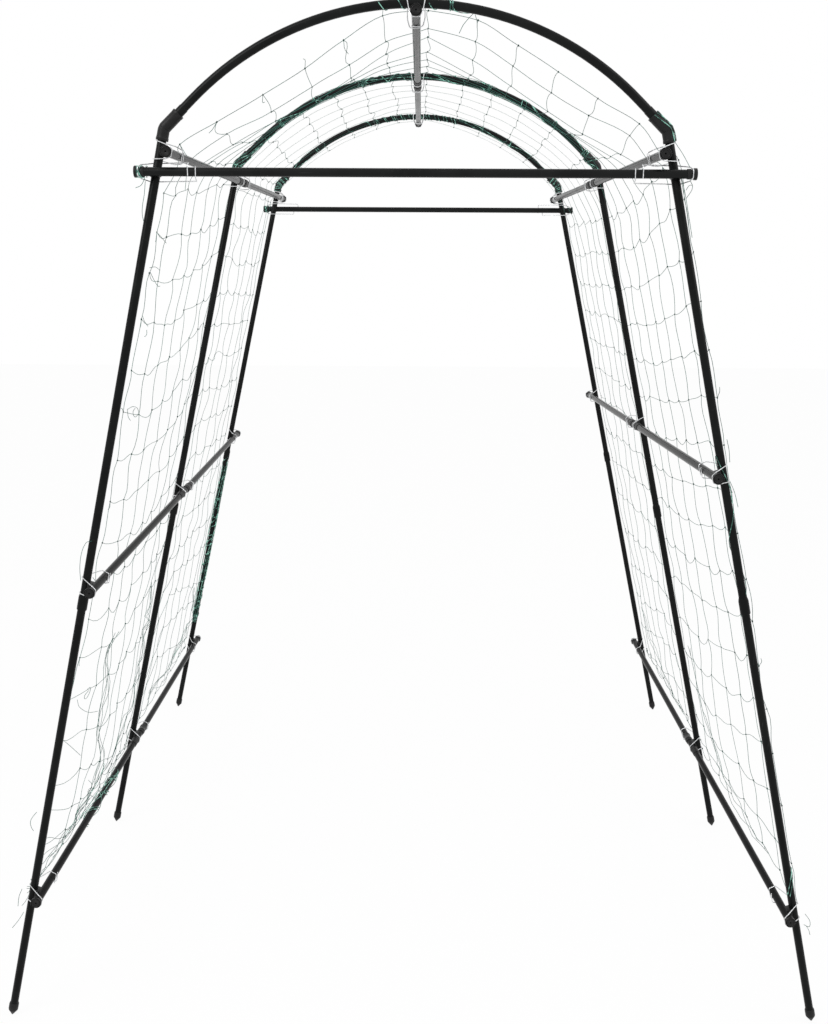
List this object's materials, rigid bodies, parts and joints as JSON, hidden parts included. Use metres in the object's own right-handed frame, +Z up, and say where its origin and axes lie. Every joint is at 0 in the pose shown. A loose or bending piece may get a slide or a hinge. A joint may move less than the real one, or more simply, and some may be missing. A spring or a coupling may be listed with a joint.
{
  "type": "metal garden arch",
  "caption": "Walk-through tube arch on spiked legs, with clipped lengthwise rails and a net for climbing plants.",
  "frame": {"origin": "on the ground, under the crown of the middle frame", "axes": "+X across the walkway to the right of someone facing the front, +Y along the walkway to the rear, +Z up"},
  "size_m": [1.6936, 1.8246, 2.0071],
  "materials": {
    "black_coat": "satin black coat on steel tube",
    "rail_coat": "satin dark grey coat on steel tube",
    "black_plastic": "moulded, slightly grained",
    "galvanised_wire": "bright galvanised spring wire",
    "green_twine": "dark green knotted twine"
  },
  "bodies": {
    "frame": {"leg_lower_front_left": "black_coat", "leg_upper_front_left": "black_coat", "elbow_front_left": "black_plastic", "leg_lower_front_right": "black_coat", "leg_upper_front_right": "black_coat", "elbow_front_right": "black_plastic", "arch_tube_front": "black_coat", "leg_lower_middle_left": "black_coat", "leg_upper_middle_left": "black_coat", "elbow_middle_left": "black_plastic", "leg_lower_middle_right": "black_coat", "leg_upper_middle_right": "black_coat", "elbow_middle_right": "black_plastic", "arch_tube_middle": "black_coat", "leg_lower_rear_left": "black_coat", "leg_upper_rear_left": "black_coat", "elbow_rear_left": "black_plastic", "leg_lower_rear_right": "black_coat", "leg_upper_rear_right": "black_coat", "elbow_rear_right": "black_plastic", "arch_tube_rear": "black_coat", "rail_ridge": "rail_coat", "clip_ridge_front": "galvanised_wire", "clip_ridge_middle": "galvanised_wire", "clip_ridge_rear": "galvanised_wire", "rail_shoulder_left": "rail_coat", "clip_shoulder_left_front": "galvanised_wire", "clip_shoulder_left_middle": "galvanised_wire", "clip_shoulder_left_rear": "galvanised_wire", "rail_shoulder_right": "rail_coat", "clip_shoulder_right_front": "galvanised_wire", "clip_shoulder_right_middle": "galvanised_wire", "clip_shoulder_right_rear": "galvanised_wire", "rail_lower_left": "rail_coat", "clip_lower_left_front": "galvanised_wire", "clip_lower_left_middle": "galvanised_wire", "clip_lower_left_rear": "galvanised_wire", "rail_lower_right": "rail_coat", "clip_lower_right_front": "galvanised_wire", "clip_lower_right_middle": "galvanised_wire", "clip_lower_right_rear": "galvanised_wire", "crossbar_front": "black_coat", "clip_crossbar_front_left": "galvanised_wire", "clip_crossbar_front_right": "galvanised_wire", "crossbar_rear": "black_coat", "clip_crossbar_rear_left": "galvanised_wire", "clip_crossbar_rear_right": "galvanised_wire", "net_roof_left": "green_twine", "net_side_left": "green_twine", "net_roof_right": "green_twine", "net_side_right": "green_twine"},
    "mid_rail_left": {"rail_mid_left": "rail_coat", "clip_mid_left_front": "galvanised_wire", "clip_mid_left_middle": "galvanised_wire", "clip_mid_left_rear": "galvanised_wire"},
    "mid_rail_right": {"rail_mid_right": "rail_coat", "clip_mid_right_front": "galvanised_wire", "clip_mid_right_middle": "galvanised_wire", "clip_mid_right_rear": "galvanised_wire"}
  },
  "joints": [
    {"name": "mid_rail_left_slide", "type": "slide", "parent": "frame", "child": "mid_rail_left", "axis": [0.214, 0, 0.9768], "range_m": [0, 0.702]},
    {"name": "mid_rail_right_slide", "type": "slide", "parent": "frame", "child": "mid_rail_right", "axis": [-0.214, 0, 0.9768], "range_m": [-0.179, 0.51]}
  ]
}
